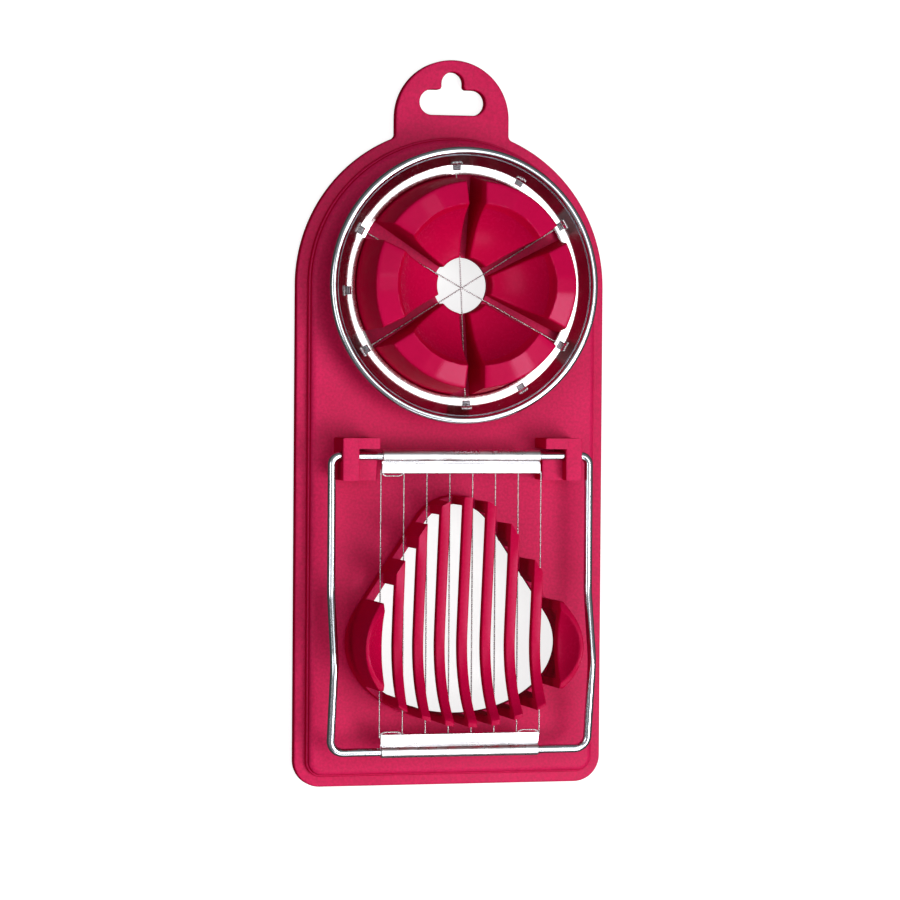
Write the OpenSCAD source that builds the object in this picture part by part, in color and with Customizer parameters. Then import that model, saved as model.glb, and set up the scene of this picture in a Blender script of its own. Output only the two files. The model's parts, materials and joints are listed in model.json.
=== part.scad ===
// Egg slicer and wedger: one moulded stand with a slicing cradle under a hinged wire frame,
// and a six-petal cup under a lift-off ring with crossed wires.
// Millimetres. X across, +Y towards the hang tab, +Z up. Z = 0 is the surface it stands on.

/* [Base plate] */
// Width of the base plate, which is also the diameter of its round end
base_w = 90; // [84:1:100]
// Distance from the middle of the round end to the square end
base_run = 141.7; // [138:0.1:150]
// Radius of the two corners at the square end
corner_r = 7.5; // [6.5:0.5:12]
// Height of the deck
deck_z = 7; // [6:0.5:9]
// Thickness of the flange round the foot of the plate
flange_z = 3.5; // [2:0.5:4]
// Wall thickness of the moulding
wall = 2; // [1.6:0.2:2.4]

/* [Hang tab] */
// Radius of the tab
tab_r = 16.6; // [14:0.2:20]
// Distance from the middle of the round end to the middle of the tab
tab_reach = 47.5; // [45:0.1:50]
// Length of the hang slot
slot_w = 19.3; // [14:0.1:22]
// Height of the hang slot
slot_h = 7.2; // [5:0.1:9]
// Width of the round lobe above the slot
lobe_w = 6.5; // [5:0.1:8]

/* [Egg cradle] */
// Number of wires in the slicing frame
wire_count = 8; // [8:1:8]
// Distance between neighbouring wires
wire_pitch = 6.66; // [6.5:0.02:6.8]
// Thickness of a cradle rib
rib_t = 2.7; // [2.4:0.1:3]
// Depth of the bar of a rib under the egg
rib_depth = 2.8; // [2.4:0.1:3.4]
// Lowest height of the cradle's hollow
bowl_floor = 18.4; // [18:0.1:20]
// Half width of the cradle at its widest
egg_a = 31.4; // [30:0.1:31.6]
// Reach of the blunt end of the cradle from its widest line
egg_b = 22.3; // [21.5:0.1:23]
// Radius of the pointed end of the cradle
egg_tip_r = 13.5; // [12:0.5:15]

/* [Wedge cup] */
// Radius of the cup's six petals at their foot
petal_foot_r = 31; // [30:0.1:31]
// Radius of the petals at their rim
petal_rim_r = 28.4; // [27.5:0.1:29]
// Radius of the hollow that holds the egg
bowl_r = 24.6; // [24:0.1:26]
// Height of the petals
petal_z = 32; // [30:0.5:34]
// Radius of the hole in the middle of the cup
hole_r = 7.9; // [7:0.1:9]

/* [Slicing frame] */
// Diameter of the frame wire and of the ring's hoop
frame_d = 2.4; // [2:0.1:2.4]
// Diameter of a cutting wire
wire_d = 0.4; // [0.4:0.05:0.6]
// Half the distance between the frame's arms
arm_x = 37.4; // [37:0.1:38]
// Length of the frame from its hinge to its front bar
frame_len = 83; // [80:0.5:84]
// Height of the frame's hinge
hinge_z = 15.5; // [15:0.1:16]
// Radial clearance of the frame wire in its hinge blocks
hinge_gap = 0.05; // [0.02:0.01:0.1]

/* [Wedge ring] */
// Inner radius of the ring's flat flange
ring_r = 31.1; // [31.1:0.05:31.5]
// Radius to the middle of the ring's hoop
hoop_r = 37.75; // [37:0.05:38]

/* [Hidden] */
$fn = 64;
eps = 0.01;

// Along Y: the square end, the round end, the hinge, the frame's front bar and its hump, and the
// widest line and the pointed end of the cradle
foot_y = -(base_run + tab_reach + tab_r) / 2;
end_y = foot_y + base_run;
hinge_y = foot_y + 93.8;
front_y = hinge_y - frame_len;
kink_y = hinge_y - 38.4;
peak_y = hinge_y - 57.9;
wide_y = foot_y + 40.9;
tip_y = wide_y + 28.1;

// Steps of the base plate, from its outer edge inwards
ledge_in = 3;
shoulder_in = 3.5;
deck_in = 5.5;
ledge_z = 5.3;
cavity_in = 5;

// Cradle: height and thickness of its low wall, and heights of its rim
curb_z = 11;
curb_step_z = 9;
cradle_wall = 2.4;
rib_top = 29.5;
scoop_top = 32;
bowl_end_r = 24.5;

// Cup: height of its floor and of the seat that the ring rests on
floor_z = 12.8;
floor_t = 1.8;
seat_z = 15.2;
seat_r = 34;
seat_in_r = 31.6;
gap_hub = 2.8;
gap_rim = 5.4;
bowl_z = petal_z + 9.1;
land_r = 22.6;
land_half = 2.2;
land_fall = 10;
side_fall = 10;

// Frame
frame_r = frame_d / 2;
wire_r = wire_d / 2;
strip_w = 46;
roll_r = 1.7;
tongue_t = 0.9;
tongue_reach = 4.95;
peak_z = 20.3;
bend_back = 2.4;
bend_front = 3.5;
kink_swell = 0.05;

// Ring: sheet thickness, heights, and the angles of its notches clockwise from the tab
sheet_t = 0.6;
hoop_z = 18;
notch_angles = [-3.5, 29, 59, 120, 149, 178, 237, 267, 297];
wire_ends = [[-3.5, 178], [59, 237], [119.5, 297.5]];
link_r = 34.6;
hook_r = 33.4;
cross_gap = 0.06;
links = [[29, 59], [120, 149], [267, 297]];

// X of cutting wire number i, counted from the left
function wire_x(i) = (i - (wire_count + 1) / 2) * wire_pitch;

// Point of the ring at clockwise angle a from the tab, radius r and height z
function ring_pt(a, r, z) = [r * sin(a), end_y + r * cos(a), z];

// Outline of the cradle: an ellipse at the blunt end and a circle at the pointed end, joined by
// straight lines. A point is found from the direction a that its side faces.
function ellipse_reach(a) = sqrt(pow(egg_a * cos(a), 2) + pow(egg_b * sin(a), 2));
function tip_lead(a) = (tip_y - wide_y) * sin(a) + egg_tip_r - ellipse_reach(a);
function tip_angle(lo, hi, n) =
    let (mid = (lo + hi) / 2)
    n == 0 ? mid : tip_lead(mid) < 0 ? tip_angle(mid, hi, n - 1) : tip_angle(lo, mid, n - 1);
tip_a = tip_angle(10, 70, 12);
function egg_pt(a, inset) =
    (a > tip_a && a < 180 - tip_a)
        ? [0, tip_y] + (egg_tip_r - inset) * [cos(a), sin(a)]
        : [pow(egg_a, 2) * cos(a), pow(egg_b, 2) * sin(a)] / ellipse_reach(a) + [0, wide_y]
            - inset * [cos(a), sin(a)];

// Height of the cradle's hollow at (x, y): shallow across, rising slowly to the pointed end and
// turning up round the blunt end
function rise_across(x) = x * x / 84 + (x > 25 ? 0.096 * pow(x - 25, 2) : 0);
function rise_along(y) =
    y < wide_y
        ? bowl_end_r - sqrt(pow(bowl_end_r, 2) - pow(min(wide_y - y, bowl_end_r - eps), 2))
        : 0.145 * (sqrt(pow(y - wide_y, 2) + 9) - 3);
function hollow_z(x, y) = bowl_floor + rise_across(x) + rise_along(y);

// Straight round bar from one point to another
module bar(from, to, r) {
    run = to - from;
    translate(from) rotate([0, atan2(norm([run[0], run[1]]), run[2]), atan2(run[1], run[0])])
        cylinder(h = norm(run), r = r);
}

// Outline of the base plate, drawn in by a given distance
module base_outline(inset) {
    r = max(corner_r - inset, 1);
    half = base_w / 2 - inset;
    low = foot_y + inset;
    translate([0, end_y]) circle(r = half, $fn = 180);
    translate([-half, low + r]) square([2 * half, end_y - low - r]);
    translate([-half + r, low]) square([2 * (half - r), r + eps]);
    for (side = [-1, 1]) translate([side * (half - r), low + r]) circle(r = r);
}

module egg_outline(inset) {
    polygon([for (a = [-90:6:264]) egg_pt(a, inset)]);
}

// Shoulder of the base plate: straight runs and turned corners of one rounded section
module shoulder_section(reach) {
    top_r = deck_z - ledge_z;
    polygon(concat(
        [[0, ledge_z - eps], [reach, ledge_z - eps]],
        [for (a = [0:15:90]) [reach - 2 + 2 * cos(a), ledge_z + top_r * sin(a)]],
        [[0, deck_z]]
    ));
}

module shoulder() {
    half = base_w / 2 - shoulder_in;
    turn = corner_r - shoulder_in;
    low = foot_y + shoulder_in;
    translate([0, end_y]) rotate_extrude(angle = 180, $fn = 180) shoulder_section(half);
    for (side = [0, 1]) mirror([side, 0, 0]) {
        translate([0, end_y, 0]) rotate([90, 0, 0])
            linear_extrude(end_y - low - turn) shoulder_section(half);
        translate([half - turn, low + turn]) rotate([0, 0, -90])
            rotate_extrude(angle = 90) shoulder_section(turn);
    }
    translate([-half + turn, low + turn, 0]) rotate([90, 0, 90])
        linear_extrude(2 * (half - turn)) mirror([1, 0]) shoulder_section(turn);
}

module hang_slot() {
    slot_y = end_y + 52.1;
    lobe_y = end_y + 60.7 - lobe_w / 2;
    end_r = slot_h / 2;
    translate([-slot_w / 2 + end_r, slot_y - end_r]) square([slot_w - slot_h, slot_h]);
    for (side = [-1, 1]) translate([side * (slot_w / 2 - end_r), slot_y]) circle(r = end_r);
    translate([-lobe_w / 2, slot_y]) square([lobe_w, lobe_y - slot_y]);
    translate([0, lobe_y]) circle(r = lobe_w / 2);
}

module base_plate() {
    color("#b3214f") difference() {
        union() {
            linear_extrude(flange_z) {
                base_outline(0);
                translate([0, end_y + tab_reach]) circle(r = tab_r);
                translate([-tab_r, end_y + 35]) square([2 * tab_r, tab_reach - 35]);
            }
            linear_extrude(ledge_z) base_outline(ledge_in);
            shoulder();
            translate([0, 0, deck_z - eps]) linear_extrude(curb_z - deck_z + eps) egg_outline(0);
        }
        translate([0, 0, -1]) linear_extrude(deck_z - wall + 1) base_outline(cavity_in);
        linear_extrude(curb_step_z) egg_outline(cradle_wall / 2);
        linear_extrude(curb_z + 1) egg_outline(cradle_wall);
        translate([0, end_y, 0]) cylinder(r = petal_foot_r, h = deck_z + 1, $fn = 120);
        translate([0, 0, -1]) linear_extrude(flange_z + 2) hang_slot();
    }
}

// Block that carries one end of the frame: cheek, back bar and low front shelf round a notch
module hinge_block() {
    cheek_in = 30;
    cheek_out = 34.8;
    bar_in = 24;
    back_y = hinge_y + 5;
    bar_t = 3;
    block_len = 11.9;
    cheek_top = 18;
    shelf_top = hinge_z - frame_r;
    shelf_len = 5.8;
    difference() {
        union() {
            translate([cheek_in, back_y - block_len, deck_z])
                cube([cheek_out - cheek_in, block_len, cheek_top - deck_z]);
            translate([bar_in, back_y - bar_t, deck_z])
                cube([cheek_in - bar_in + eps, bar_t, cheek_top - deck_z]);
            translate([bar_in, back_y - block_len, deck_z])
                cube([cheek_in - bar_in + eps, shelf_len, shelf_top - deck_z]);
        }
        translate([cheek_in - 1, hinge_y, hinge_z]) rotate([0, 90, 0])
            cylinder(r = frame_r + hinge_gap, h = cheek_out - cheek_in + 2);
    }
}

module hinge_block_left() {
    color("#ad1c4a") mirror([1, 0, 0]) hinge_block();
}

module hinge_block_right() {
    color("#ad1c4a") hinge_block();
}

// One petal of the cup, pointing along +X from the cup's axis and drawn in by t on every side
module petal_solid(t) {
    half_hub = gap_hub / 2 + t;
    half_rim = gap_rim / 2 + t;
    hub_a = 30 - asin(half_hub / hole_r);
    rim_a = 30 - asin(half_rim / petal_rim_r);
    hub_pt = (hole_r + eps) * [cos(hub_a), sin(hub_a)];
    rim_pt = petal_rim_r * [cos(rim_a), sin(rim_a)];
    side_dir = (rim_pt - hub_pt) / norm(rim_pt - hub_pt);
    apex = hub_pt[0] - hub_pt[1] * side_dir[0] / side_dir[1];
    far = 40;
    foot = t > 0 ? floor_z - floor_t - 1 : floor_z;
    draft = (petal_foot_r - petal_rim_r) / (petal_z - floor_z);
    difference() {
        intersection() {
            translate([0, 0, foot]) linear_extrude(petal_z)
                polygon([[apex, 0], [apex + far, -far * side_dir[1] / side_dir[0]],
                         [apex + far, far * side_dir[1] / side_dir[0]]]);
            translate([0, 0, foot])
                cylinder(r1 = petal_foot_r - t + draft * (floor_z - foot),
                         r2 = petal_rim_r - t - draft, h = petal_z - foot + 1, $fn = 120);
        }
        translate([0, 0, bowl_z]) sphere(r = bowl_r + t, $fn = 120);
        translate([0, 0, foot - 1]) cylinder(r = hole_r + t, h = petal_z);
        for (side = [-1:1])
            translate([land_r, side * land_half, petal_z - t]) rotate([-side * side_fall, land_fall, 0])
                translate([-far, -far, 0]) cube([2 * far, 2 * far, far / 2]);
    }
}

module petal(i) {
    color("#c0204f") translate([0, end_y, 0]) rotate([0, 0, 90 - 60 * (i - 0.5)]) difference() {
        petal_solid(0);
        petal_solid(wall);
    }
}

// Drum that carries the petals; its wall is the seat of the wedge ring
module cup_base() {
    color("#b3214f") difference() {
        translate([0, end_y, 0]) difference() {
            translate([0, 0, deck_z]) cylinder(r = seat_r, h = seat_z - deck_z, $fn = 120);
            translate([0, 0, deck_z - 1])
                cylinder(r = seat_in_r, h = floor_z - floor_t - deck_z + 1, $fn = 120);
            translate([0, 0, floor_z]) cylinder(r = seat_in_r, h = seat_z, $fn = 120);
            translate([0, 0, deck_z]) cylinder(r = hole_r, h = seat_z);
        }
        for (wire = [0:2]) for (side = [0, 1]) {
            translate([0, end_y, floor_z]) rotate([0, 0, 90 - wire_ends[wire][side]])
                translate([seat_in_r - 2, -2.5, 0]) cube([6, 5, seat_z]);
        }
        for (i = [1:6]) translate([0, end_y, 0]) rotate([0, 0, 90 - 60 * (i - 0.5)])
            petal_solid(wall);
    }
}

// The part of the cradle's wall and floor between x and x + t, cut by its hollow
module rib_section(x) {
    span = [for (y = [-86:2:-18]) y];
    polygon(concat(
        [for (y = span) [y, min(hollow_z(x, y), rib_top)]],
        [[-18, curb_z], [-86, curb_z]]
    ));
}

module rib_under(x) {
    span = [for (y = [-86:2:-18]) y];
    polygon(concat(
        [for (y = span) [y, min(hollow_z(x, y) - rib_depth, rib_top - rib_depth)]],
        [[-18, curb_z - 1], [-86, curb_z - 1]]
    ));
}

module across(x, t) {
    translate([x, 0, 0]) rotate([90, 0, 90]) linear_extrude(t) children();
}

module cradle_rib(i) {
    mid_x = (i - wire_count / 2) * wire_pitch;
    color("#c0204f") difference() {
        intersection() {
            across(mid_x - rib_t / 2, rib_t) rib_section(abs(mid_x));
            translate([0, 0, curb_z]) linear_extrude(scoop_top) egg_outline(0);
        }
        intersection() {
            across(mid_x - rib_t, 2 * rib_t) rib_under(abs(mid_x));
            linear_extrude(scoop_top) egg_outline(cradle_wall);
        }
    }
}

// Egg-shaped cutter lying across the cradle, grown by t
module crosswise_egg(t) {
    axis_z = bowl_floor + bowl_end_r;
    translate([0, wide_y, axis_z]) rotate([0, 90, 0]) rotate_extrude($fn = 120)
        polygon(concat(
            [[0, 20]],
            [for (x = [20:1:32]) [bowl_end_r - rise_across(x) + t, x]],
            [[0, 32]]
        ));
}

module cradle_scoop() {
    scoop_in = wire_x(wire_count) + (wire_pitch - rib_t) / 2;
    arch_r = 22.5;
    difference() {
        intersection() {
            translate([0, 0, curb_z]) linear_extrude(scoop_top) egg_outline(0);
            translate([scoop_in, wide_y - egg_b, curb_z]) cube([10, 2 * egg_b, scoop_top]);
            translate([scoop_in - 1, wide_y, scoop_top - arch_r]) rotate([0, 90, 0])
                cylinder(r = arch_r, h = 12, $fn = 120);
        }
        crosswise_egg(0);
        difference() {
            linear_extrude(scoop_top) egg_outline(cradle_wall);
            crosswise_egg(rib_depth);
        }
    }
}

module cradle_scoop_left() {
    color("#c0204f") mirror([1, 0, 0]) cradle_scoop();
}

module cradle_scoop_right() {
    color("#c0204f") cradle_scoop();
}

// Quarter turn of the frame wire, in the level plane
module frame_bend(centre, bend_r, start) {
    translate(centre) rotate([0, 0, start]) rotate_extrude(angle = 90)
        translate([bend_r, 0]) circle(r = frame_r);
}

// Right arm with its two corners; the arm is humped towards the front
module frame_arm() {
    back = hinge_y - bend_back;
    front = front_y + bend_front;
    kinks = [[arm_x, kink_y, hinge_z], [arm_x, peak_y, peak_z], [arm_x, front, hinge_z]];
    frame_bend([arm_x - bend_back, back, hinge_z], bend_back, 0);
    bar([arm_x, back, hinge_z], kinks[0], frame_r);
    bar(kinks[0], kinks[1], frame_r);
    bar(kinks[1], kinks[2], frame_r);
    for (kink = kinks) translate(kink) sphere(r = frame_r + kink_swell);
    frame_bend([arm_x - bend_front, front, hinge_z], bend_front, -90);
}

module frame_wire() {
    color("#c9ced2") {
        for (side = [0, 1]) mirror([side, 0, 0]) frame_arm();
        bar([bend_back - arm_x, hinge_y, hinge_z], [arm_x - bend_back, hinge_y, hinge_z], frame_r);
        bar([bend_front - arm_x, front_y, hinge_z], [arm_x - bend_front, front_y, hinge_z], frame_r);
    }
}

// Sheet strip folded round a bar, with its tongue towards the cutting wires
module strip(bar_y, side) {
    color("#dfe3e6") translate([-strip_w / 2, bar_y, hinge_z]) rotate([90, 0, 90])
        linear_extrude(strip_w) difference() {
            union() {
                circle(r = roll_r);
                translate([side > 0 ? 1 : -tongue_reach, -tongue_t / 2])
                    square([tongue_reach - 1, tongue_t]);
            }
            circle(r = frame_r + 0.02);
        }
}

module hinge_strip() {
    strip(hinge_y, -1);
}

module front_strip() {
    strip(front_y, 1);
}

module slicing_wire(i) {
    start_y = front_y + tongue_reach;
    color("#b8bcc0") translate([wire_x(i), start_y, hinge_z]) rotate([-90, 0, 0])
        cylinder(r = wire_r, h = hinge_y - tongue_reach - start_y, $fn = 24);
}

// Short run of wire from one cutting wire to the next, just clear of a strip's tongue
module wire_return(i, y) {
    lift = wire_d + 0.02;
    color("#b8bcc0") translate([wire_x(i), y, hinge_z + lift]) rotate([0, 90, 0])
        cylinder(r = wire_r, h = wire_pitch, $fn = 24);
}

module hinge_wire_return() {
    wire_return(1, hinge_y - tongue_reach - 0.9);
}

module front_wire_returns() {
    wire_return(1, front_y + tongue_reach + 0.9);
    wire_return(wire_count - 1, front_y + tongue_reach + 0.9);
}

// Pressed sheet of the wedge ring: flat flange and sloping wall, with a notch for each wire end
module wedge_ring_plate() {
    notch_w = 2.6;
    bend_r = 34;
    wall_r = hoop_r - frame_r;
    color("#dfe3e6") difference() {
        translate([0, end_y, 0]) rotate_extrude($fn = 180)
            polygon([[ring_r, seat_z], [bend_r + 0.15, seat_z], [wall_r + 0.05, hoop_z - 0.4],
                     [wall_r, hoop_z + 0.1], [bend_r - 0.1, seat_z + sheet_t],
                     [ring_r, seat_z + sheet_t]]);
        for (a = notch_angles) translate([0, end_y, seat_z - 1]) rotate([0, 0, 90 - a])
            translate([bend_r - 1.7, -notch_w / 2, 0]) cube([2.2, notch_w, 4]);
    }
}

module wedge_hoop() {
    color("#c9ced2") translate([0, end_y, hoop_z]) rotate_extrude($fn = 180)
        translate([hoop_r, 0]) circle(r = frame_r - 0.05);
}

// Taut wire across the ring, under its flange, with both ends turned up into notches. Each wire
// passes under the one before where they cross.
module wedge_wire(i) {
    level = seat_z - wire_r - (i - 1) * (wire_d + cross_gap);
    hook_wire_r = wire_r + kink_swell;
    ends = [for (a = wire_ends[i - 1]) ring_pt(a, hook_r, level)];
    color("#b8bcc0") {
        bar(ends[0], ends[1], wire_r);
        for (end = ends) translate(end - [0, 0, hook_wire_r])
            cylinder(h = seat_z + sheet_t - level + hook_wire_r, r = hook_wire_r);
    }
}

// Runs of the same wire from notch to notch, outside the seat and under the sloping wall
module wedge_wire_links() {
    color("#b8bcc0") for (link = links)
        translate([0, end_y, seat_z - wire_r]) rotate([0, 0, 90 - link[1]])
            rotate_extrude(angle = link[1] - link[0], $fn = 120)
                translate([link_r, 0]) circle(r = wire_r, $fn = 24);
}

base_plate();
hinge_block_left();
hinge_block_right();
cup_base();
for (i = [1:6]) petal(i);
cradle_scoop_left();
cradle_scoop_right();
for (i = [1:wire_count - 1]) cradle_rib(i);
frame_wire();
hinge_strip();
front_strip();
for (i = [1:wire_count]) slicing_wire(i);
hinge_wire_return();
front_wire_returns();
wedge_ring_plate();
wedge_hoop();
for (i = [1:3]) wedge_wire(i);
wedge_wire_links();
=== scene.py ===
import bmesh
import bpy
import json
import math
import numpy as np
from mathutils import Vector, Matrix, Quaternion


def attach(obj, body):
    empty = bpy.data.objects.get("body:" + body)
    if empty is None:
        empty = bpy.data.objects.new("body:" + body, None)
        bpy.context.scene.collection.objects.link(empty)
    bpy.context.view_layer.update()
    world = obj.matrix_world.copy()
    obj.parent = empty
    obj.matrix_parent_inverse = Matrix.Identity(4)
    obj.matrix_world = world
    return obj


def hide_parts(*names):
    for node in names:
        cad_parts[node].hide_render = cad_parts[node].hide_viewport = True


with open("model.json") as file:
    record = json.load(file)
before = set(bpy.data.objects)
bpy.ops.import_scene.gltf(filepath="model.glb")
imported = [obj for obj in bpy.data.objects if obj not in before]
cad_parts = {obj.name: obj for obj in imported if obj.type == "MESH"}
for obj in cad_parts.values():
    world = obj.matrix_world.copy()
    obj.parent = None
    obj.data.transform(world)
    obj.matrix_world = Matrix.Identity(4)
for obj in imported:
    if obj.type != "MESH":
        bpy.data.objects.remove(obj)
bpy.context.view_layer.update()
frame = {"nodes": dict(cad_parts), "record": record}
MM = 0.001                       # the frame is in metres, the sizes below in millimetres

# Sizes shared with the CAD part, in millimetres
END_Y, FOOT_Y, HINGE_Y, HINGE_Z = 38.8, -102.9, -9.1, 15.5
FRONT_Y, WIDE_Y, TIP_Y = -92.1, -62.0, -33.9
EGG_A, EGG_B, TIP_R, WALL = 31.4, 22.3, 13.5, 2.4
PITCH, RIB_T, RIB_D = 6.66, 2.7, 2.8
SEAT_Z = 15.2
NOTCHES = [-3.5, 29, 59, 120, 149, 178, 237, 267, 297]
WEDGE_ENDS = [[-3.5, 178], [59, 237], [119.5, 297.5]]


# ---------------------------------------------------------------- materials
def shader(name):
    mat = bpy.data.materials.new(name)
    mat.use_nodes = True
    tree = mat.node_tree
    return mat, tree, tree.nodes["Principled BSDF"]


def noise(tree, scale, detail=4.0, rough=0.5):
    coord = tree.nodes.new("ShaderNodeTexCoord")
    node = tree.nodes.new("ShaderNodeTexNoise")
    node.inputs["Scale"].default_value = scale
    node.inputs["Detail"].default_value = detail
    node.inputs["Roughness"].default_value = rough
    tree.links.new(coord.outputs["Object"], node.inputs["Vector"])
    return node


def ramp(tree, source, low, high, a, b):
    node = tree.nodes.new("ShaderNodeMapRange")
    node.inputs["From Min"].default_value = low
    node.inputs["From Max"].default_value = high
    node.inputs["To Min"].default_value = a
    node.inputs["To Max"].default_value = b
    tree.links.new(source, node.inputs["Value"])
    return node.outputs["Result"]


def mix_color(tree, factor, a, b):
    node = tree.nodes.new("ShaderNodeMix")
    node.data_type = "RGBA"
    node.inputs[6].default_value = (*a, 1)
    node.inputs[7].default_value = (*b, 1)
    tree.links.new(factor, node.inputs[0])
    return node.outputs[2]


def bump(tree, bsdf, height, distance, strength, below=None):
    node = tree.nodes.new("ShaderNodeBump")
    node.inputs["Distance"].default_value = distance
    node.inputs["Strength"].default_value = strength
    tree.links.new(height, node.inputs["Height"])
    if below is not None:
        tree.links.new(below, node.inputs["Normal"])
    tree.links.new(node.outputs["Normal"], bsdf.inputs["Normal"])
    return node.outputs["Normal"]


def plastic(name, dark, light, rough_low, rough_high, grain, grain_depth, speckle, tint, level):
    mat, tree, bsdf = shader(name)
    cloud = noise(tree, 45.0, 3.0)
    fine = noise(tree, grain, 2.0)
    base = mix_color(tree, ramp(tree, cloud.outputs["Fac"], 0.3, 0.7, 0, 1), dark, light)
    grainy = tree.nodes.new("ShaderNodeMix")
    grainy.data_type = "RGBA"
    grainy.blend_type = "MULTIPLY"
    grainy.inputs[0].default_value = 1.0
    tree.links.new(base, grainy.inputs[6])
    tree.links.new(mix_color(tree, ramp(tree, fine.outputs["Fac"], 0.35, 0.65, 0, 1),
                             (1 - speckle,) * 3, (1, 1, 1)), grainy.inputs[7])
    tree.links.new(grainy.outputs[2], bsdf.inputs["Base Color"])
    tree.links.new(ramp(tree, fine.outputs["Fac"], 0.3, 0.7, rough_low, rough_high),
                   bsdf.inputs["Roughness"])
    wave = noise(tree, 60.0, 1.0)
    soft = bump(tree, bsdf, wave.outputs["Fac"], 0.00004, 0.2)
    bump(tree, bsdf, fine.outputs["Fac"], grain_depth, 0.6, soft)
    bsdf.inputs["Specular IOR Level"].default_value = level
    bsdf.inputs["Specular Tint"].default_value = (*tint, 1)
    return mat


def steel(name, color, rough_low, rough_high, scratch, depth, dents=0.0):
    mat, tree, bsdf = shader(name)
    bsdf.inputs["Metallic"].default_value = 1.0
    cloud = noise(tree, 160.0, 4.0)
    darker = tuple(c * 0.86 for c in color)
    tree.links.new(mix_color(tree, ramp(tree, cloud.outputs["Fac"], 0.35, 0.65, 0, 1), darker, color),
                   bsdf.inputs["Base Color"])
    fine = noise(tree, scratch, 5.0, 0.6)
    tree.links.new(ramp(tree, fine.outputs["Fac"], 0.3, 0.7, rough_low, rough_high),
                   bsdf.inputs["Roughness"])
    if dents:
        wave = noise(tree, dents, 1.0)
        soft = bump(tree, bsdf, wave.outputs["Fac"], 0.0006, 0.3)
        bump(tree, bsdf, fine.outputs["Fac"], depth, 0.4, soft)
    else:
        bump(tree, bsdf, fine.outputs["Fac"], depth, 0.4)
    return mat


M_STAND = plastic("stand_plastic", dark=(0.56, 0.009, 0.074), light=(0.62, 0.012, 0.09),
                  rough_low=0.4, rough_high=0.54, grain=1300.0, grain_depth=0.00004, speckle=0.2,
                  tint=(1.0, 0.65, 0.8), level=0.15)
M_SMOOTH = plastic("smooth_plastic", dark=(0.42, 0.0006, 0.036), light=(0.47, 0.001, 0.044),
                   rough_low=0.22, rough_high=0.3, grain=900.0, grain_depth=0.000001, speckle=0.04,
                   tint=(1.0, 0.4, 0.7), level=0.14)
# Lighter, glossier copy of the smooth plastic for the petals' top lands: painted light
M_PAINTED_LIGHT_LAND = plastic("petal_land_painted_light", dark=(0.44, 0.0006, 0.046), light=(0.49, 0.001, 0.054),
                 rough_low=0.2, rough_high=0.26, grain=900.0, grain_depth=0.000001, speckle=0.04,
                 tint=(1.0, 0.5, 0.75), level=0.18)
# Side walls: a darker copy of the plastic with its reflection damped and tinted red, painted shade on the
# walls
M_PAINTED_SHADE_SIDE = plastic("side_wall_painted_shade", dark=(0.44, 0.0004, 0.026), light=(0.5, 0.0006, 0.034),
                 rough_low=0.5, rough_high=0.6, grain=900.0, grain_depth=0.000001, speckle=0.06,
                 tint=(1.0, 0.1, 0.4), level=0.02)
M_WIRE = steel("bright_wire", color=(0.62, 0.65, 0.7), rough_low=0.14, rough_high=0.24,
               scratch=900.0, depth=0.00001)
M_SHEET = steel("steel_sheet", color=(0.8, 0.79, 0.81), rough_low=0.2, rough_high=0.3,
                scratch=700.0, depth=0.00001)
# Darker, slightly red steel for the ring's outer wall: painted dark reflection of the shaded plastic around
# it
M_PAINTED_REFLECTION_WALL = steel("ring_wall_painted_reflection", color=(0.46, 0.42, 0.45), rough_low=0.16, rough_high=0.28,
              scratch=300.0, depth=0.00002)
M_FOLD = steel("folded_sheet", color=(0.78, 0.78, 0.8), rough_low=0.24, rough_high=0.34,
               scratch=300.0, depth=0.000004, dents=60.0)
# Dark steel for the turns in the notches: painted shade
M_PAINTED_SHADE_KNOT = steel("wire_knot_painted_shade", color=(0.34, 0.34, 0.37), rough_low=0.3, rough_high=0.4,
               scratch=900.0, depth=0.00001)
M_CUT = steel("cutting_wire", color=(0.7, 0.68, 0.7), rough_low=0.2, rough_high=0.34,
              scratch=1500.0, depth=0.00001)
MATS = {"stand_plastic": M_STAND, "smooth_plastic": M_SMOOTH, "bright_wire": M_WIRE,
        "steel_sheet": M_SHEET, "cutting_wire": M_CUT}
BODY = {n: b for b, ns in frame["record"]["behaviour"]["bodies"].items() for n in ns}
SLOT = {s["node"]: s["material_slot"] for s in frame["record"]["subparts"]}

for node_name, obj in frame["nodes"].items():
    obj.data.materials.clear()
    obj.data.materials.append(MATS[SLOT[node_name]])


# ---------------------------------------------------------------- pieces
def piece(name, verts, faces, nodes, sharp=32, material=None):
    """A mesh in millimetres that stands for the CAD nodes."""
    mesh = bpy.data.meshes.new(name)
    mesh.from_pydata([tuple(float(c) * MM for c in v) for v in verts], [], faces)
    mesh.validate()
    obj = bpy.data.objects.new(name, mesh)
    bpy.context.scene.collection.objects.link(obj)
    finish_piece(obj, nodes, sharp, material)
    return obj


def finish_piece(obj, nodes, sharp=32, material=None):
    mesh = obj.data
    bm = bmesh.new()
    bm.from_mesh(mesh)
    bmesh.ops.remove_doubles(bm, verts=bm.verts, dist=2e-6)
    bmesh.ops.recalc_face_normals(bm, faces=bm.faces)
    bm.to_mesh(mesh)
    bm.free()
    mesh.shade_smooth()
    mesh.set_sharp_from_angle(angle=math.radians(sharp))
    mesh.materials.clear()
    mesh.materials.append(material or MATS[SLOT[nodes[0]]])
    # Faces steeper than 60 degrees take the darker side material: painted shade on the side walls
    if SLOT[nodes[0]].endswith("plastic"):
        mesh.materials.append(M_PAINTED_SHADE_SIDE)
        for face in mesh.polygons:
            face.material_index = int(abs(face.normal.z) < 0.5)
    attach(obj, BODY[nodes[0]])
    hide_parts(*nodes)


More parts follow.
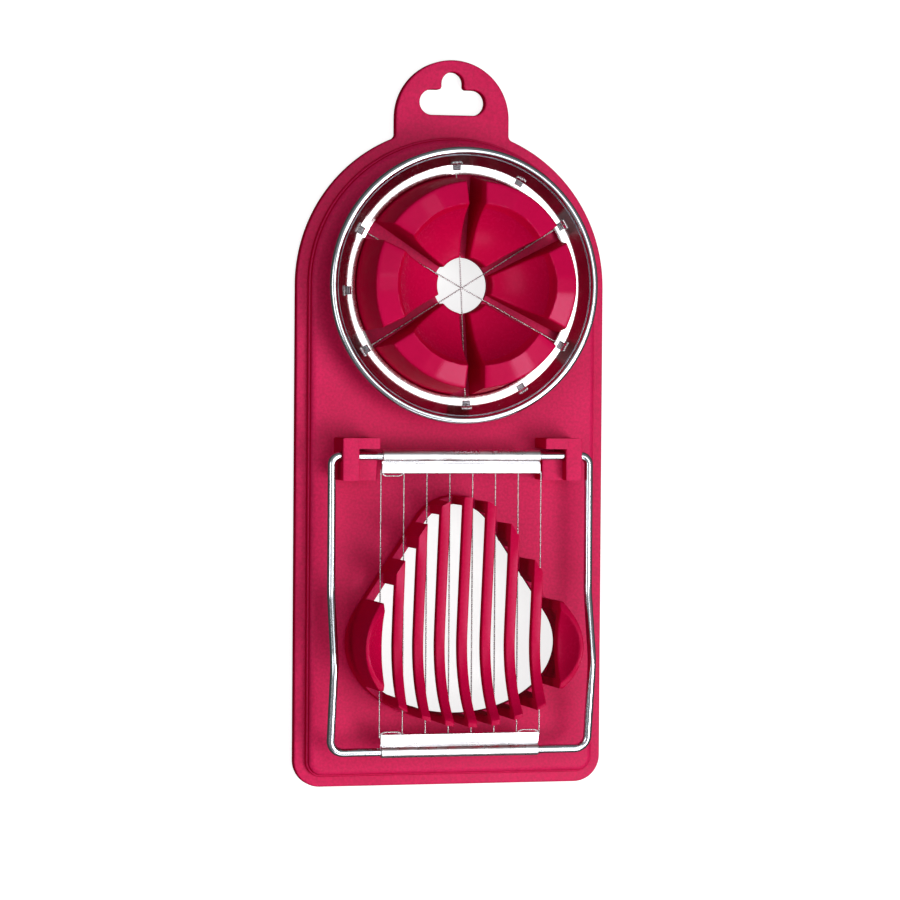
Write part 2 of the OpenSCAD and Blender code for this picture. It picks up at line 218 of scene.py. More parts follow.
def plate(name, loops, z0, z1, bevel, place=None, res=4):
    """Flat plate between z0 and z1 from closed loops (the outline and its holes), with rounded edges.
    Returns vertices in millimetres and faces; place maps (x, y, z) to the final point."""
    curve = bpy.data.curves.new(name, "CURVE")
    curve.dimensions = "2D"
    curve.fill_mode = "BOTH"
    curve.bevel_depth = bevel * MM
    curve.bevel_resolution = res
    curve.offset = -bevel * MM
    curve.extrude = max(0.0, (z1 - z0) / 2 - bevel) * MM
    for loop in loops:
        spline = curve.splines.new("POLY")
        spline.points.add(len(loop) - 1)
        for point, (x, y) in zip(spline.points, loop):
            point.co = (x * MM, y * MM, 0, 1)
        spline.use_cyclic_u = True
    obj = bpy.data.objects.new(name, curve)
    bpy.context.scene.collection.objects.link(obj)
    bpy.context.view_layer.update()
    mesh = bpy.data.meshes.new_from_object(obj.evaluated_get(bpy.context.evaluated_depsgraph_get()))
    bpy.data.objects.remove(obj)
    verts = [(v.co.x / MM, v.co.y / MM, v.co.z / MM + (z0 + z1) / 2) for v in mesh.vertices]
    faces = [tuple(p.vertices) for p in mesh.polygons]
    bpy.data.meshes.remove(mesh)
    if place:
        verts = [place(*v) for v in verts]
    return verts, faces


def join(*parts):
    verts, faces = [], []
    for v, f in parts:
        base = len(verts)
        verts += [tuple(p) for p in v]
        faces += [tuple(i + base for i in face) for face in f]
    return verts, faces


def arc(cx, cy, r, a0, a1, n):
    return [(cx + r * math.cos(math.radians(a0 + (a1 - a0) * i / n)),
             cy + r * math.sin(math.radians(a0 + (a1 - a0) * i / n))) for i in range(n + 1)]


def fillet_path(points, radii, closed=False, step=8):
    """Points of a 3-D path whose inner corners are rounded to the radii."""
    pts = [Vector(p) for p in points]
    count = len(pts)
    out = []
    for i in range(count):
        if radii[i] <= 0 or (not closed and i in (0, count - 1)):
            out.append(pts[i])
            continue
        a, p, b = pts[i - 1], pts[i], pts[(i + 1) % count]
        u, v = (p - a).normalized(), (b - p).normalized()
        turn = u.angle(v)
        if turn < 1e-3:
            out.append(p)
            continue
        cut = radii[i] * math.tan(turn / 2)
        inward = (v - u).normalized()
        centre = p + inward * (radii[i] / math.cos(turn / 2))
        start = p - u * cut
        axis = u.cross(v).normalized()
        for k in range(step + 1):
            out.append(centre + Quaternion(axis, turn * k / step) @ (start - centre))
    return out


def tube(path, r, sides=12, closed=False):
    """Round tube along a path, with domed ends on an open one."""
    pts = [Vector(p) for p in path]
    n = len(pts)
    tangents = []
    for i in range(n):
        a = pts[i - 1] if (closed or i) else pts[i]
        b = pts[(i + 1) % n] if (closed or i < n - 1) else pts[i]
        tangents.append((b - a).normalized())
    normal = tangents[0].orthogonal().normalized()
    verts, faces, rows = [], [], []

    def ring(p, t, nrm, rad):
        side = t.cross(nrm)
        base = len(verts)
        for k in range(sides):
            a = 2 * math.pi * k / sides
            verts.append(p + (nrm * math.cos(a) + side * math.sin(a)) * rad)
        rows.append(base)

    for i in range(n):
        t = tangents[i]
        normal = (normal - t * normal.dot(t)).normalized()
        if not closed and i == 0:
            for f in (0.35, 0.75):
                ring(pts[0] - t * (r * (1 - f) * 0.5), t, normal, r * math.sqrt(f) * 0.98)
        ring(pts[i], t, normal, r)
        if not closed and i == n - 1:
            for f in (0.75, 0.35):
                ring(pts[i] + t * (r * (1 - f) * 0.5), t, normal, r * math.sqrt(f) * 0.98)
    total = len(rows)
    for j in range(total if closed else total - 1):
        a, b = rows[j], rows[(j + 1) % total]
        for k in range(sides):
            k2 = (k + 1) % sides
            faces.append((a + k, a + k2, b + k2, b + k))
    if not closed:
        faces.append(tuple(range(rows[0] + sides - 1, rows[0] - 1, -1)))
        faces.append(tuple(range(rows[-1], rows[-1] + sides)))
    return verts, faces


def twisted(path, r, lay, sides=6):
    """Two strands wound round each other along a path; r is the outer radius of the pair."""
    pts = [Vector(p) for p in path]
    lengths = [0.0]
    for a, b in zip(pts, pts[1:]):
        lengths.append(lengths[-1] + (b - a).length)
    total = lengths[-1]
    count = max(8, int(total / lay * 10))
    parts = []
    strand = r * 0.56
    normal = None
    centres = []
    j = 0
    for i in range(count + 1):
        s = total * i / count
        while j < len(lengths) - 2 and lengths[j + 1] < s:
            j += 1
        span = max(1e-9, lengths[j + 1] - lengths[j])
        p = pts[j].lerp(pts[j + 1], (s - lengths[j]) / span)
        t = (pts[j + 1] - pts[j]).normalized()
        normal = t.orthogonal().normalized() if normal is None else (normal - t * normal.dot(t)).normalized()
        centres.append((p, t, normal.copy(), s))
    for phase in (0, math.pi):
        line = []
        for p, t, nrm, s in centres:
            a = 2 * math.pi * s / lay + phase
            line.append(p + (nrm * math.cos(a) + t.cross(nrm) * math.sin(a)) * (r - strand))
        parts.append(tube(line, strand, sides))
    return join(*parts)


# ---------------------------------------------------------------- base plate
def base_loop(inset, tab=False):
    r = max(7.5 - inset, 1.0)
    half, low = 45 - inset, FOOT_Y + inset
    loop = []
    if tab:
        cut = tr = 16.6
        ty, fr = END_Y + 47.5, 1.6
        # fillet between the round end and the side of the tab
        cx = cut + fr
        cy = math.sqrt((45 + fr) ** 2 - cx ** 2)
        a = math.degrees(math.atan2(cy, cx))
        loop += arc(0, END_Y, half, 0, a, 60)
        loop += arc(cx, END_Y + cy, fr, 180 + a, 180, 8)
        loop += arc(0, ty, tr, 0, 180, 64)
        loop += arc(-cx, END_Y + cy, fr, 0, -a, 8)
        loop += arc(0, END_Y, half, 180 - a, 180, 60)
    else:
        loop += arc(0, END_Y, half, 0, 180, 160)
    loop += arc(-half + r, low + r, r, 180, 270, 16)
    loop += arc(half - r, low + r, r, 270, 360, 16)
    return loop


def slot_loop():
    y, r, lr = END_Y + 52.1, 3.6, 3.25
    ly = END_Y + 60.7 - lr
    loop = arc(19.3 / 2 - r, y, r, -90, 90, 16)
    fr = 0.9
    loop += arc(lr + fr, y + r + fr, fr, 270, 180, 5)
    loop += arc(0, ly, lr, 0, 180, 20)
    loop += arc(-lr - fr, y + r + fr, fr, 0, -90, 5)
    loop += arc(-19.3 / 2 + r, y, r, 90, 270, 16)
    return loop


def ellipse_reach(a):
    return math.hypot(EGG_A * math.cos(a), EGG_B * math.sin(a))


def tip_angle():
    lo, hi = math.radians(10), math.radians(70)
    for _ in range(40):
        mid = (lo + hi) / 2
        lead = (TIP_Y - WIDE_Y) * math.sin(mid) + TIP_R - ellipse_reach(mid)
        lo, hi = (mid, hi) if lead < 0 else (lo, mid)
    return (lo + hi) / 2


TIP_A = tip_angle()


def egg_pt(a, inset):
    c, s = math.cos(a), math.sin(a)
    if TIP_A < a < math.pi - TIP_A:
        return ((TIP_R - inset) * c, TIP_Y + (TIP_R - inset) * s)
    e = ellipse_reach(a)
    return (EGG_A ** 2 * c / e - inset * c, WIDE_Y + EGG_B ** 2 * s / e - inset * s)


def egg_loop(inset, n=144):
    angles = sorted({round(-math.pi / 2 + 2 * math.pi * i / n, 6) for i in range(n)}
                    | {round(TIP_A - 1e-5, 6), round(math.pi - TIP_A + 1e-5, 6)})
    return [egg_pt(a, inset) for a in angles]


EGG_0 = np.array(egg_loop(0, 720))


def egg_y(x, tip):
    """Y of the cradle's outline at x, on its pointed or its blunt side."""
    half = EGG_0[(EGG_0[:, 1] > WIDE_Y) == tip]
    half = half[half[:, 0] >= -1e-6]
    order = np.argsort(half[:, 0])
    return float(np.interp(abs(x), half[order, 0], half[order, 1]))


def egg_x(y):
    right = EGG_0[EGG_0[:, 0] >= 0]
    order = np.argsort(right[:, 1])
    return float(np.interp(y, right[order, 1], right[order, 0]))


cup_hole = arc(0, END_Y, 31, 0, 360, 120)[:-1]
cavity = base_loop(5)
flange = plate("flange", [base_loop(0, True), cavity, slot_loop()], 0, 3.5, 0.55)
ledge = plate("ledge", [base_loop(3), cavity], 3.0, 5.3, 0.7)
deck = plate("deck", [base_loop(3.5), cup_hole, egg_loop(1.0)], 3.6, 7.0, 1.68, res=8)
foot = plate("foot", [egg_loop(0), egg_loop(WALL / 2)], 5.2, 9.4, 0.3)
curb = plate("curb", [egg_loop(0), egg_loop(WALL)], 9.0, 11.0, 0.4)
verts, faces = join(flange, ledge, deck, foot, curb)
piece("stand_plate", verts, faces, ["base_plate"])

# ---------------------------------------------------------------- hinge blocks
BLOCK_L, BLOCK_FOOT, BLOCK_TOP, SHELF_TOP, BORE_R = 11.9, 6.2, 18.0, 14.25, 1.28

for side, node_name in ((-1, "hinge_block_left"), (1, "hinge_block_right")):
    back, front = HINGE_Y + 5, HINGE_Y + 5 - BLOCK_L

    def across(u, v, w, side=side):
        # a plate drawn in (y, z) and laid across x
        return side * w, u, v

    def box(y0, y1, top):
        return [(y0, BLOCK_FOOT), (y1, BLOCK_FOOT), (y1, top), (y0, top)]

    bore = arc(HINGE_Y, HINGE_Z, BORE_R, 0, 360, 40)[:-1]
    cheek = plate("cheek", [box(front, back, BLOCK_TOP), bore], 30.0, 34.8, 0.5, across)
    bar = plate("bar", [box(back - 3, back, BLOCK_TOP)], 24.0, 31.0, 0.45, across)
    shelf = plate("shelf", [box(front, back - 6.1, SHELF_TOP)], 24.0, 31.0, 0.45, across)
    verts, faces = join(cheek, bar, shelf)
    piece("hinge_" + ("left" if side < 0 else "right"), verts, faces, [node_name])


# ---------------------------------------------------------------- petals
def soft_min(a, b, k):
    h = np.clip(0.5 + 0.5 * (b - a) / k, 0, 1)
    return b * (1 - h) + a * h - k * h * (1 - h)


def drop(d, r):
    d = np.clip(d, 0, r)
    return r - np.sqrt(np.maximum(r * r - (r - d) ** 2, 0))


def petal_mesh(index):
    r_in, r_out, foot_r, z_foot, top = 7.9, 28.9, 31.0, 12.8, 32.0
    bowl_r, bowl_up, fold_half, fall = 24.6, 9.1, 2.2, math.tan(math.radians(10))
    rho = 0.6
    edge = [rho * (1 - math.cos(math.radians(a))) for a in (0, 12, 30, 50, 70, 90)]

    def half_angle(r):
        gap = 1.4 + (2.7 - 1.4) * (r - r_in) / (r_out - r_in)
        return math.radians(30) - np.arcsin(gap / r)

    inner = np.concatenate([np.arange(r_in + rho + 0.5, 21.2, 0.8), np.arange(21.2, 24.4, 0.2),
                            np.arange(24.6, r_out - rho - 0.2, 0.5)])
    radii = np.concatenate([[r_in + e for e in edge], inner, [r_out - e for e in edge[::-1]]])
    grid = []
    for r in radii:
        alpha = half_angle(r)
        width = alpha * r
        borders = [1 - e / width for e in edge]
        fold = fold_half / width if fold_half / width < borders[-1] - 0.1 else 0.5 * borders[-1]
        mid = np.concatenate([np.linspace(-borders[-1], -fold, 7)[1:], np.linspace(-fold, fold, 7)[1:],
                              np.linspace(fold, borders[-1], 7)[1:-1]])
        s = np.array([-b for b in borders] + list(mid) + borders[::-1])
        x, y = r * np.cos(s * alpha), r * np.sin(s * alpha)
        aside = np.maximum(np.abs(y) - fold_half, 0)
        land = top - fall * (x - 22.6) - fall * aside
        inside = np.maximum(bowl_r ** 2 - x * x - y * y, 0.0)
        bowl = np.where(inside > 1.0, top + bowl_up - np.sqrt(inside), 60.0)
        z = soft_min(land, bowl, 0.5)
        z = z - drop((1 - np.abs(s)) * width, rho) - drop(r_out - r, rho) - drop(r - r_in, rho)
        grid.append(list(zip(x, y, z)))
    rows, cols = len(grid), len(grid[0])
    verts = [p for row in grid for p in row]
    faces = [(i * cols + j, (i + 1) * cols + j, (i + 1) * cols + j + 1, i * cols + j + 1)
             for i in range(rows - 1) for j in range(cols - 1)]
    border = ([(i, 0) for i in range(rows)] + [(rows - 1, j) for j in range(1, cols)]
              + [(i, cols - 1) for i in range(rows - 2, -1, -1)] + [(0, j) for j in range(cols - 2, 0, -1)])
    start = len(verts)
    for i, j in border:
        x, y, z = grid[i][j]
        r = math.hypot(x, y)
        if i == rows - 1 or j in (0, cols - 1):
            rb = r_in + (r - r_in) * (foot_r - r_in) / (r_out - r_in)
        else:
            rb = r
        frac = math.atan2(y, x) / half_angle(r)
        a = frac * half_angle(rb)
        verts.append((rb * math.cos(a), rb * math.sin(a), z_foot - 0.3))
    m = len(border)
    for k in range(m):
        a, b = border[k], border[(k + 1) % m]
        faces.append((a[0] * cols + a[1], b[0] * cols + b[1], start + (k + 1) % m, start + k))
    faces.append(tuple(range(start + m - 1, start - 1, -1)))
    turn = math.radians(90 - 60 * (index - 0.5))
    c, s = math.cos(turn), math.sin(turn)
    return [(c * x - s * y, END_Y + s * x + c * y, z) for x, y, z in verts], faces


for i in range(1, 7):
    verts, faces = petal_mesh(i)
    petal = piece(f"cup_petal_{i}", verts, faces, [f"petal_{i}"], 34)
    # The lands' top faces that slope outward take the lighter copy: painted light
    petal.data.materials.append(M_PAINTED_LIGHT_LAND)
    out = Vector((math.sin(math.radians(60 * i - 30)), math.cos(math.radians(60 * i - 30)), 0))
    for face in petal.data.polygons:
        spot = face.center / MM - Vector((0, END_Y, 0))
        if face.normal.z > 0.9 and face.normal.dot(out) > 0.05 and spot.z > 29.5:
            face.material_index = 2


# ---------------------------------------------------------------- cradle
# Radius of the cradle's round end, floor of its hollow, top of the ribs, centre height of the scoops' hollow
BLUNT_R, FLOOR_Z, RIB_TOP = 24.5, 18.4, 29.5
HOLLOW_Z = FLOOR_Z + BLUNT_R


def rise_across(x):
    return x * x / 84 + (0.096 * (x - 25) ** 2 if x > 25 else 0)


def rise_along(y):
    if y < WIDE_Y:
        return BLUNT_R - math.sqrt(max(BLUNT_R ** 2 - (WIDE_Y - y) ** 2, 0))
    return 0.145 * (math.sqrt((y - WIDE_Y) ** 2 + 9) - 3)


def hollow_z(x, y):
    return FLOOR_Z + rise_across(abs(x)) + rise_along(y)


for i in range(1, 8):
    mid = (i - 4) * PITCH
    yb, yt = egg_y(mid, False), egg_y(mid, True)
    lb = WALL * math.hypot(1, (egg_y(abs(mid) + 0.5, False) - egg_y(max(abs(mid) - 0.5, 0), False)))
    lt = WALL * math.hypot(1, (egg_y(abs(mid) + 0.5, True) - egg_y(max(abs(mid) - 0.5, 0), True)))
    ys = np.arange(yb, yt + 0.01, (yt - yb) / 90)
    upper = [(y, min(hollow_z(mid, y), RIB_TOP)) for y in ys]
    under = [(y, min(hollow_z(mid, y), RIB_TOP) - RIB_D) for y in ys if yb + lb < y < yt - lt]
    outline = ([(yb, 10.6)] + upper + [(yt, 10.6), (yt - lt, 10.6)]
               + [(yt - lt, hollow_z(mid, yt - lt) - RIB_D)] + under[::-1]
               + [(yb + lb, hollow_z(mid, yb + lb) - RIB_D), (yb + lb, 10.6)])

    def lay(u, v, w, mid=mid, yb=yb, yt=yt):
        x = mid + w
        near_b = max(0.0, 1 - (u - yb) / 9.0)
        near_t = max(0.0, 1 - (yt - u) / 9.0)
        return (x, u + near_b * (egg_y(x, False) - yb) + near_t * (egg_y(x, True) - yt), v)

    verts, faces = plate("rib", [outline], -RIB_T / 2, RIB_T / 2, 0.38, lay)
    piece(f"rib_{i}", verts, faces, [f"cradle_rib_{i}"], 40)


def scoop_mesh(side):
    x_in = 3.5 * PITCH + (PITCH - RIB_T) / 2
    rho, arch_r, arch_z = 0.4, 22.5, 9.5      # rounding of the edges; the arched top
    edge = [rho * (1 - math.cos(math.radians(a))) for a in (0, 20, 45, 70, 90)]
    ys = [y for y in np.arange(-84, -38, 0.1) if egg_x(y) > x_in + 1.2]
    y0, y1 = ys[0], ys[-1]
    y_nodes = np.concatenate([[y0 + e for e in edge], np.linspace(y0 + rho + 0.3, y1 - rho - 0.3, 60),
                              [y1 - e for e in edge[::-1]]])
    top, bottom = [], []
    for y in y_nodes:
        x_out = egg_x(y)
        width = x_out - x_in
        fracs = np.concatenate([edge, np.linspace(rho + 0.05, max(width - rho - 0.05, rho + 0.1), 22),
                                [width - e for e in edge[::-1]]])
        dy = y - WIDE_Y
        arch = arch_z + math.sqrt(arch_r ** 2 - dy * dy)
        row_t, row_b = [], []
        for f in fracs:
            x = x_in + f
            reach = BLUNT_R - rise_across(x)
            inside = reach * reach - dy * dy
            hollow = HOLLOW_Z - math.sqrt(inside) if inside > 0.3 else 60.0
            z = float(soft_min(np.array(arch), np.array(hollow), 0.35))
            z -= float(drop(np.array(width - f), rho) + drop(np.array(f), rho)
                       + drop(np.array(y - y0), rho) + drop(np.array(y1 - y), rho))
            row_t.append((side * x, y, z))
            inner = (reach + RIB_D) ** 2 - dy * dy
            under = HOLLOW_Z - math.sqrt(inner) if inner > 0 else 11.0
            wall_x = x_out - WALL * 1.15
            row_b.append((side * x, y, under if (x < wall_x and y0 + WALL < y < y1 - WALL) else 10.6))
        top.append(row_t)
        bottom.append(row_b)
    rows, cols = len(top), len(top[0])
    verts = [p for row in top for p in row] + [p for row in bottom for p in row]
    off = rows * cols
    faces = []
    for i in range(rows - 1):
        for j in range(cols - 1):
            q = (i * cols + j, (i + 1) * cols + j, (i + 1) * cols + j + 1, i * cols + j + 1)
            faces.append(q)
            faces.append(tuple(off + k for k in reversed(q)))
    border = ([(i, 0) for i in range(rows)] + [(rows - 1, j) for j in range(1, cols)]
              + [(i, cols - 1) for i in range(rows - 2, -1, -1)] + [(0, j) for j in range(cols - 2, 0, -1)])
    for k in range(len(border)):
        a, b = border[k], border[(k + 1) % len(border)]
        ia, ib = a[0] * cols + a[1], b[0] * cols + b[1]
        faces.append((ia, ib, off + ib, off + ia))
    return verts, faces


for side, word in ((-1, "left"), (1, "right")):
    verts, faces = scoop_mesh(side)
    piece(f"scoop_{word}", verts, faces, [f"cradle_scoop_{word}"], 34)

# ---------------------------------------------------------------- slicing frame
# X of the frame's arms; radii of its wire, the strips' roll and a pair of strands; length of a twist
ARM, WIRE_R, ROLL_R, CUT_R, LAY = 37.4, 1.2, 1.7, 0.21, 1.2
half = [(ARM, HINGE_Y, HINGE_Z), (ARM, -47.5, HINGE_Z), (ARM, -67, 20.3), (ARM, FRONT_Y, HINGE_Z)]
bends = [2.4, 16, 16, 3.6]
pts = half + [(-x, y, z) for x, y, z in reversed(half)]
path = fillet_path(pts, bends + bends[::-1], closed=True, step=12)
verts, faces = tube(path, WIRE_R, 24, closed=True)
piece("frame_loop", verts, faces, ["frame_wire"])


def strip(bar_y, way, name, nodes):
    """Sheet folded round the bar: a roll and a flat double tongue with pressed edges."""
    half_w = 23.0
    # profile in (y, z) round the bar, closed
    turns = np.linspace(math.radians(34), math.radians(344), 40)
    prof = [(ROLL_R * math.cos(a), ROLL_R * math.sin(a)) for a in turns]
    prof += [(4.75, -0.45), (4.95, -0.25), (4.95, 0.25), (4.75, 0.45), (2.35, 0.45), (2.2, 0.3), (1.9, -0.1),
             (1.6, 0.1)]
    n = len(prof)
    stations = [(-half_w, 0.25), (-half_w + 0.08, 0.1), (-half_w + 0.25, 0.0),
                (half_w - 0.25, 0.0), (half_w - 0.08, 0.1), (half_w, 0.25)]
    verts, faces = [], []
    for x, shrink in stations:
        for py, pz in prof:
            length = math.hypot(py, pz)
            k = (length - shrink) / length
            verts.append((x, bar_y + way * py * k, HINGE_Z + pz * k))
    for j in range(len(stations) - 1):
        for k in range(n):
            k2 = (k + 1) % n
            faces.append((j * n + k, j * n + k2, (j + 1) * n + k2, (j + 1) * n + k))
    faces.append(tuple(range(n)))
    faces.append(tuple(range((len(stations) - 1) * n + n - 1, (len(stations) - 1) * n - 1, -1)))
    piece(name, verts, faces, nodes, 28, M_FOLD)


strip(HINGE_Y, -1, "strip_hinge", ["hinge_strip"])
strip(FRONT_Y, 1, "strip_front", ["front_strip"])

w0, w1 = FRONT_Y + 4.4, HINGE_Y - 4.4
for i in range(1, 9):
    x = (i - 4.5) * PITCH
    verts, faces = twisted([(x, w0, HINGE_Z), (x, w1, HINGE_Z)], CUT_R, LAY)
    piece(f"wire_{i}", verts, faces, [f"slicing_wire_{i}"], 60)


def return_loop(i, y, out):
    x0, x1 = (i - 4.5) * PITCH, (i - 3.5) * PITCH
    z, y_end, z_end = HINGE_Z + 0.55, y - out * 1.1, HINGE_Z + 0.1
    line = fillet_path([(x0, y_end, z_end), (x0, y, z), (x1, y, z), (x1, y_end, z_end)],
                       [0, 1.8, 1.8, 0], step=6)
    return twisted(line, CUT_R, LAY)


verts, faces = return_loop(1, HINGE_Y - 5.6, -1)
piece("return_hinge", verts, faces, ["hinge_wire_return"], 60)
verts, faces = join(return_loop(1, FRONT_Y + 5.6, 1), return_loop(7, FRONT_Y + 5.6, 1))
piece("returns_front", verts, faces, ["front_wire_returns"], 60)


# ---------------------------------------------------------------- wedge ring
def ring_pt(a, r, z):
    a = math.radians(a)
    return (r * math.sin(a), END_Y + r * math.cos(a), z)


def lathe(profile, n, skip=None):
    """Closed profile of (r, z) points turned about the cup's axis; skip(j, k) leaves out a face."""
    m = len(profile)
    verts = [ring_pt(360 * j / n, r, z) for j in range(n) for r, z in profile]
    faces = []
    for j in range(n):
        j2 = (j + 1) % n
        for k in range(m):
            k2 = (k + 1) % m
            if skip and skip(j, k):
                continue
            faces.append((j * m + k, j * m + k2, j2 * m + k2, j2 * m + k))
    return verts, faces


web = [((32.3, 15.8), (32.3, 15.2)), ((33.3, 15.8), (33.3, 15.2)), ((33.75, 15.82), (33.8, 15.2)),
       ((33.95, 15.9), (34.1, 15.22)), ((34.15, 16.08), (34.35, 15.38)), ((34.5, 16.4), (34.7, 15.7))]
profile = ([(31.1, 15.45), (31.15, 15.68), (31.35, 15.8)] + [top for top, low in web]
           + [(35.5, 17.4), (36.4, 18.25), (36.8, 17.8), (35.95, 16.95)]
           + [low for top, low in web[::-1]] + [(31.35, 15.2), (31.17, 15.26)])
# Steps round the ring, points in its profile, and the places in that where the notched part starts
SEG, ROW, TOP0, LOW0 = 720, len(profile), 3, 18
HALF_NOTCH, WALL_R = 2.25, 34     # degrees; millimetres from the cup's axis


def in_notch(j, k):
    angle = 360 * (j + 0.5) / SEG
    if not any(abs((angle - a + 180) % 360 - 180) < HALF_NOTCH for a in NOTCHES):
        return False
    return TOP0 <= k < TOP0 + 5 or LOW0 - 5 <= k < LOW0


verts, faces = lathe(profile, SEG, in_notch)
for j in range(SEG):
    j2 = (j + 1) % SEG
    cut, cut_next = in_notch(j, TOP0), in_notch(j2, TOP0)
    if cut:
        for t, w in ((TOP0, LOW0), (TOP0 + 5, LOW0 - 5)):
            faces.append((j * ROW + t, j2 * ROW + t, j2 * ROW + w, j * ROW + w))
    if cut != cut_next:
        for k in range(5):
            t, w = TOP0 + k, LOW0 - k
            faces.append((j2 * ROW + t, j2 * ROW + t + 1, j2 * ROW + w - 1, j2 * ROW + w))
sheet = piece("ring_sheet", verts, faces, ["wedge_ring_plate"], 40)
# Faces beyond the wall radius take the darker steel: painted reflection
sheet.data.materials.append(M_PAINTED_REFLECTION_WALL)
for face in sheet.data.polygons:
    face.material_index = int(math.hypot(face.center.x, face.center.y - END_Y * MM) > WALL_R * MM)

# Turns of wire lying in each notch, in dark steel: painted shade that darkens the notches
knots = []
for a in NOTCHES:
    for r, z in ((32.75, 15.35), (33.25, 15.35), (33.75, 15.45)):
        half = math.degrees(1.2 / r)
        knots.append(tube([ring_pt(a + t * half, r, z) for t in (-1, -0.5, 0, 0.5, 1)], 0.24, 8))
verts, faces = join(*knots)
piece("ring_knots_painted_shade", verts, faces, ["wedge_ring_plate"], 60, M_PAINTED_SHADE_KNOT)
HOOP_R, HOOP_Z, HOOP_WIRE = 37.75, 18, 1.15
hoop = [(HOOP_R + HOOP_WIRE * math.cos(a), HOOP_Z + HOOP_WIRE * math.sin(a))
        for a in np.linspace(0, 2 * math.pi, 25)[:-1]]
verts, faces = lathe(hoop, 360)
piece("ring_hoop", verts, faces, ["wedge_hoop"])


def notch_bar(a):
    """Short turn of wire across the outer end of a notch."""
    half = 1.3 / 34.4
    pts = [ring_pt(a + math.degrees(t), 34.45, 16.55) for t in np.linspace(-half, half, 5)]
    ends = [ring_pt(a - 2.5, 34.2, 15.9), ring_pt(a + 2.5, 34.2, 15.9)]
    return twisted([ends[0]] + pts + [ends[1]], 0.24, 1.2)


SPAN_R, LEVEL_GAP = 32.4, 0.46    # reach of the straight run, and how far each wire dips below the last
HOOK = [(34.4, 16.5), (33.6, 15.8), (32.9, 15.15)]     # (r, z) of a wire's end, from its tip inwards
for i, (a, b) in enumerate(WEDGE_ENDS):
    low = SEAT_Z - 0.22
    p0, p1 = Vector(ring_pt(a, SPAN_R, low)), Vector(ring_pt(b, SPAN_R, low))
    span = [p0.lerp(p1, t) for t in np.linspace(0, 1, 61)]
    for q in span:
        d = math.hypot(q.x, q.y - END_Y)
        q.z -= LEVEL_GAP * i * max(0.0, 1 - d / SPAN_R)
    line = ([Vector(ring_pt(a, r, z)) for r, z in HOOK] + span
            + [Vector(ring_pt(b, r, z)) for r, z in HOOK[::-1]])
    verts, faces = join(twisted(line, CUT_R, LAY), notch_bar(a), notch_bar(b))
    piece(f"cross_wire_{i + 1}", verts, faces, [f"wedge_wire_{i + 1}"], 60)

parts = []
for a, b in ((29, 59), (120, 149), (267, 297)):
    line = [ring_pt(a, 34.4, 16.5), ring_pt(a, 34.2, 15.8), ring_pt(a + 0.8, 34.4, 15.3)]
    line += [ring_pt(t, 34.6, 15.0) for t in np.linspace(a + 2, b - 2, 12)]
    line += [ring_pt(b - 0.8, 34.4, 15.3), ring_pt(b, 34.2, 15.8), ring_pt(b, 34.4, 16.5)]
    parts.append(twisted(line, CUT_R, LAY))
for a in (29, 149, 267):
    parts.append(notch_bar(a))
verts, faces = join(*parts)
piece("ring_links", verts, faces, ["wedge_wire_links"], 60)

# ---------------------------------------------------------------- cup base, shown as the CAD made it
cad = frame["nodes"]["cup_base"]
cad.data.shade_smooth()
cad.data.set_sharp_from_angle(angle=math.radians(30))

# ---------------------------------------------------------------- floor, light, camera
bpy.ops.mesh.primitive_plane_add(size=8, location=(0, 0, -0.0002))
floor = bpy.context.object
floor.name = "floor"
mat, tree, bsdf = shader("floor_white")
cloud = noise(tree, 3.0, 2.0)
tree.links.new(mix_color(tree, cloud.outputs["Fac"], (0.34, 0.34, 0.34), (0.36, 0.36, 0.36)),
               bsdf.inputs["Base Color"])
bsdf.inputs["Roughness"].default_value = 0.8
bsdf.inputs["Specular IOR Level"].default_value = 0.1
bsdf.inputs["Emission Color"].default_value = (1, 1, 1, 1)
bsdf.inputs["Emission Strength"].default_value = 0.82
floor.data.materials.append(mat)
floor.visible_glossy = False
floor.visible_diffuse = False

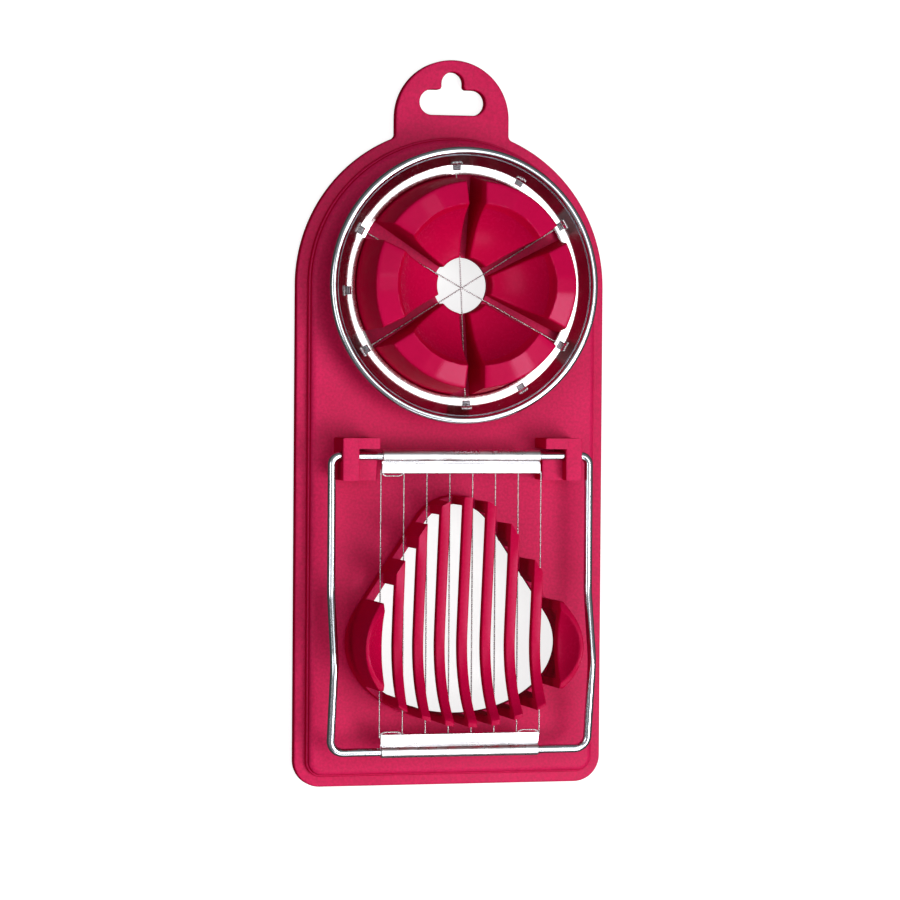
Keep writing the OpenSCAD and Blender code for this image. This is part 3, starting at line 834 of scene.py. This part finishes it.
world = bpy.data.worlds.new("studio")
bpy.context.scene.world = world
world.use_nodes = True
wt = world.node_tree
back = wt.nodes["Background"]
coord = wt.nodes.new("ShaderNodeTexCoord")
split = wt.nodes.new("ShaderNodeSeparateXYZ")
wt.links.new(coord.outputs["Generated"], split.inputs[0])
sky = wt.nodes.new("ShaderNodeValToRGB")
sky.color_ramp.elements[0].position = 0.0
sky.color_ramp.elements[0].color = (0.08, 0.08, 0.08, 1)
sky.color_ramp.elements[1].position = 1.0
sky.color_ramp.elements[1].color = (0.7, 0.7, 0.7, 1)
for position, level in ((0.1, 0.15), (0.4, 0.28), (0.75, 0.35), (0.92, 0.5)):
    sky.color_ramp.elements.new(position).color = (level, level, level, 1)
wt.links.new(split.outputs["Z"], sky.inputs["Fac"])
wt.links.new(sky.outputs["Color"], back.inputs["Color"])
back.inputs["Strength"].default_value = 0.75


def area(name, place, target, size, watts):
    lamp = bpy.data.lights.new(name, "AREA")
    lamp.shape = "RECTANGLE"
    lamp.size, lamp.size_y = size
    lamp.energy = watts
    obj = bpy.data.objects.new(name, lamp)
    obj.location = place
    obj.rotation_euler = (Vector(target) - Vector(place)).to_track_quat("-Z", "Y").to_euler()
    bpy.context.scene.collection.objects.link(obj)


area("key", place=(0.75, -0.5, 1.25), target=(0, -0.01, 0), size=(0.75, 0.6), watts=15)
area("front", place=(0.2, -1.25, 0.75), target=(0, -0.02, 0), size=(1.0, 0.35), watts=4)
area("top", place=(0.2, 0.15, 1.45), target=(0, 0, 0), size=(0.9, 0.6), watts=5)
area("fill", place=(-0.95, -0.1, 0.8), target=(0, 0, 0.01), size=(0.7, 0.5), watts=3)

# The photo looks down, tilted 15 degrees to the left, and is turned by less than half a degree
DISTANCE, ROLL = 1.1, math.radians(0.42)
view_dir = Vector((-0.268, 0.024, 1)).normalized()
target = Vector((0.0008, -0.0078, 0))
cam_data = bpy.data.cameras.new("camera")
cam_data.lens = 154.3
cam_data.sensor_width = 36
cam_data.clip_start = 0.05
cam = bpy.data.objects.new("camera", cam_data)
cam.location = target + view_dir * DISTANCE
up = Vector((-math.sin(ROLL), math.cos(ROLL), 0))
right = up.cross(view_dir).normalized()
true_up = view_dir.cross(right).normalized()
axes = Matrix((right, true_up, view_dir)).transposed().to_4x4()
cam.matrix_world = Matrix.Translation(cam.location) @ axes
bpy.context.scene.collection.objects.link(cam)
bpy.context.scene.camera = cam
bpy.context.scene.view_settings.view_transform = "Standard"
